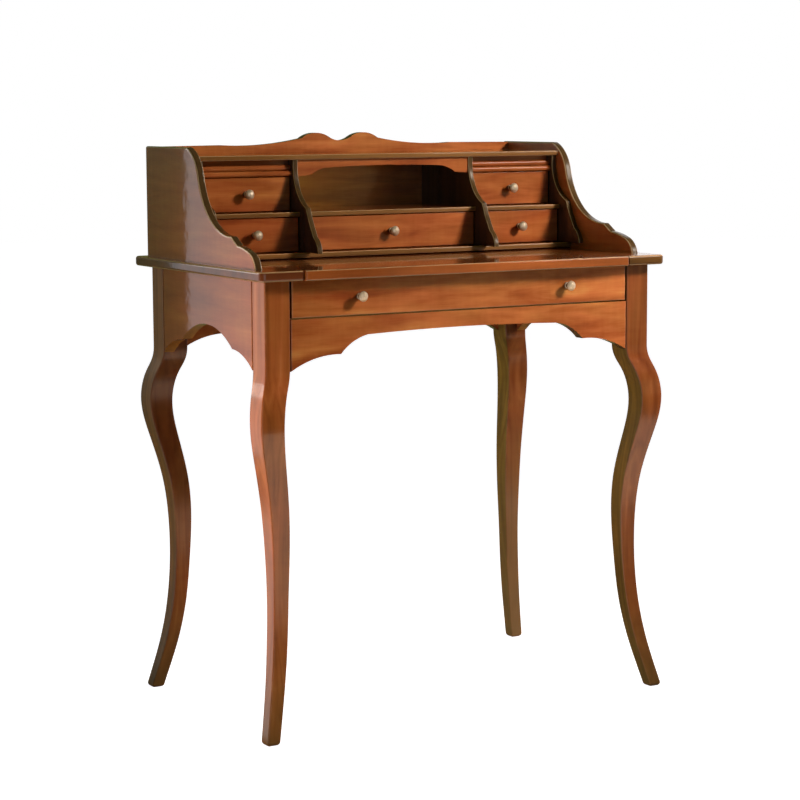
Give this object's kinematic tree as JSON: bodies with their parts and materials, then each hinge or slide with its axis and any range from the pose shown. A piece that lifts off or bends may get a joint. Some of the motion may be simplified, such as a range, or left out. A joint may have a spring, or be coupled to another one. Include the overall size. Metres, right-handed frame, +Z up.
{
  "type": "bonheur du jour",
  "caption": "Small lady's writing desk with a drawer gallery, a pull-out writing slide, a wide frieze drawer and cabriole legs.",
  "frame": {"origin": "on the floor under the middle of the top, halfway between the front edge of the writing slide and the rear edge of the top", "axes": "+X to the sitter's right, +Y away from the sitter towards the back panel, +Z up"},
  "size_m": [0.8, 0.503, 0.9944],
  "materials": {
    "stained_wood": "satin lacquer",
    "drawer_lining_wood": "bare",
    "brass": "satin"
  },
  "bodies": {
    "desk": {"apron_back": "stained_wood", "apron_front": "stained_wood", "apron_left": "stained_wood", "apron_right": "stained_wood", "drawer_runners": "drawer_lining_wood", "gallery_back": "stained_wood", "gallery_base": "stained_wood", "gallery_side_left": "stained_wood", "gallery_side_right": "stained_wood", "gallery_top": "stained_wood", "leg_front_left": "stained_wood", "leg_front_right": "stained_wood", "leg_rear_left": "stained_wood", "leg_rear_right": "stained_wood", "moulding_left": "stained_wood", "moulding_right": "stained_wood", "partition_inner_left": "stained_wood", "partition_inner_right": "stained_wood", "partition_outer_left": "stained_wood", "partition_outer_right": "stained_wood", "shelf_centre": "stained_wood", "shelf_left": "stained_wood", "shelf_right": "stained_wood", "slide_rails": "drawer_lining_wood", "top_left": "stained_wood", "top_rear": "stained_wood", "top_right": "stained_wood", "valance": "stained_wood"},
    "centre_drawer": {"centre_drawer_back": "drawer_lining_wood", "centre_drawer_bottom": "drawer_lining_wood", "centre_drawer_front": "stained_wood", "centre_drawer_knob": "brass", "centre_drawer_sides": "drawer_lining_wood"},
    "lower_left_drawer": {"lower_left_drawer_back": "drawer_lining_wood", "lower_left_drawer_bottom": "drawer_lining_wood", "lower_left_drawer_front": "stained_wood", "lower_left_drawer_knob": "brass", "lower_left_drawer_sides": "drawer_lining_wood"},
    "lower_right_drawer": {"lower_right_drawer_back": "drawer_lining_wood", "lower_right_drawer_bottom": "drawer_lining_wood", "lower_right_drawer_front": "stained_wood", "lower_right_drawer_knob": "brass", "lower_right_drawer_sides": "drawer_lining_wood"},
    "upper_left_drawer": {"upper_left_drawer_back": "drawer_lining_wood", "upper_left_drawer_bottom": "drawer_lining_wood", "upper_left_drawer_front": "stained_wood", "upper_left_drawer_knob": "brass", "upper_left_drawer_sides": "drawer_lining_wood"},
    "upper_right_drawer": {"upper_right_drawer_back": "drawer_lining_wood", "upper_right_drawer_bottom": "drawer_lining_wood", "upper_right_drawer_front": "stained_wood", "upper_right_drawer_knob": "brass", "upper_right_drawer_sides": "drawer_lining_wood"},
    "wide_drawer": {"wide_drawer_back": "drawer_lining_wood", "wide_drawer_bottom": "drawer_lining_wood", "wide_drawer_front": "stained_wood", "wide_drawer_knobs": "brass", "wide_drawer_side_left": "drawer_lining_wood", "wide_drawer_side_right": "drawer_lining_wood"},
    "writing_slide": {"writing_slide": "stained_wood"}
  },
  "joints": [
    {"name": "writing_slide_out", "type": "slide", "parent": "desk", "child": "writing_slide", "axis": [0, -1, 0], "range_m": [0, 0.18]},
    {"name": "wide_drawer_out", "type": "slide", "parent": "desk", "child": "wide_drawer", "axis": [0, -1, 0], "range_m": [0, 0.28]},
    {"name": "centre_drawer_out", "type": "slide", "parent": "desk", "child": "centre_drawer", "axis": [0, -1, 0], "range_m": [0, 0.13]},
    {"name": "upper_left_drawer_out", "type": "slide", "parent": "desk", "child": "upper_left_drawer", "axis": [0, -1, 0], "range_m": [0, 0.1]},
    {"name": "upper_right_drawer_out", "type": "slide", "parent": "desk", "child": "upper_right_drawer", "axis": [0, -1, 0], "range_m": [0, 0.1]},
    {"name": "lower_left_drawer_out", "type": "slide", "parent": "desk", "child": "lower_left_drawer", "axis": [0, -1, 0], "range_m": [0, 0.13]},
    {"name": "lower_right_drawer_out", "type": "slide", "parent": "desk", "child": "lower_right_drawer", "axis": [0, -1, 0], "range_m": [0, 0.13]}
  ]
}
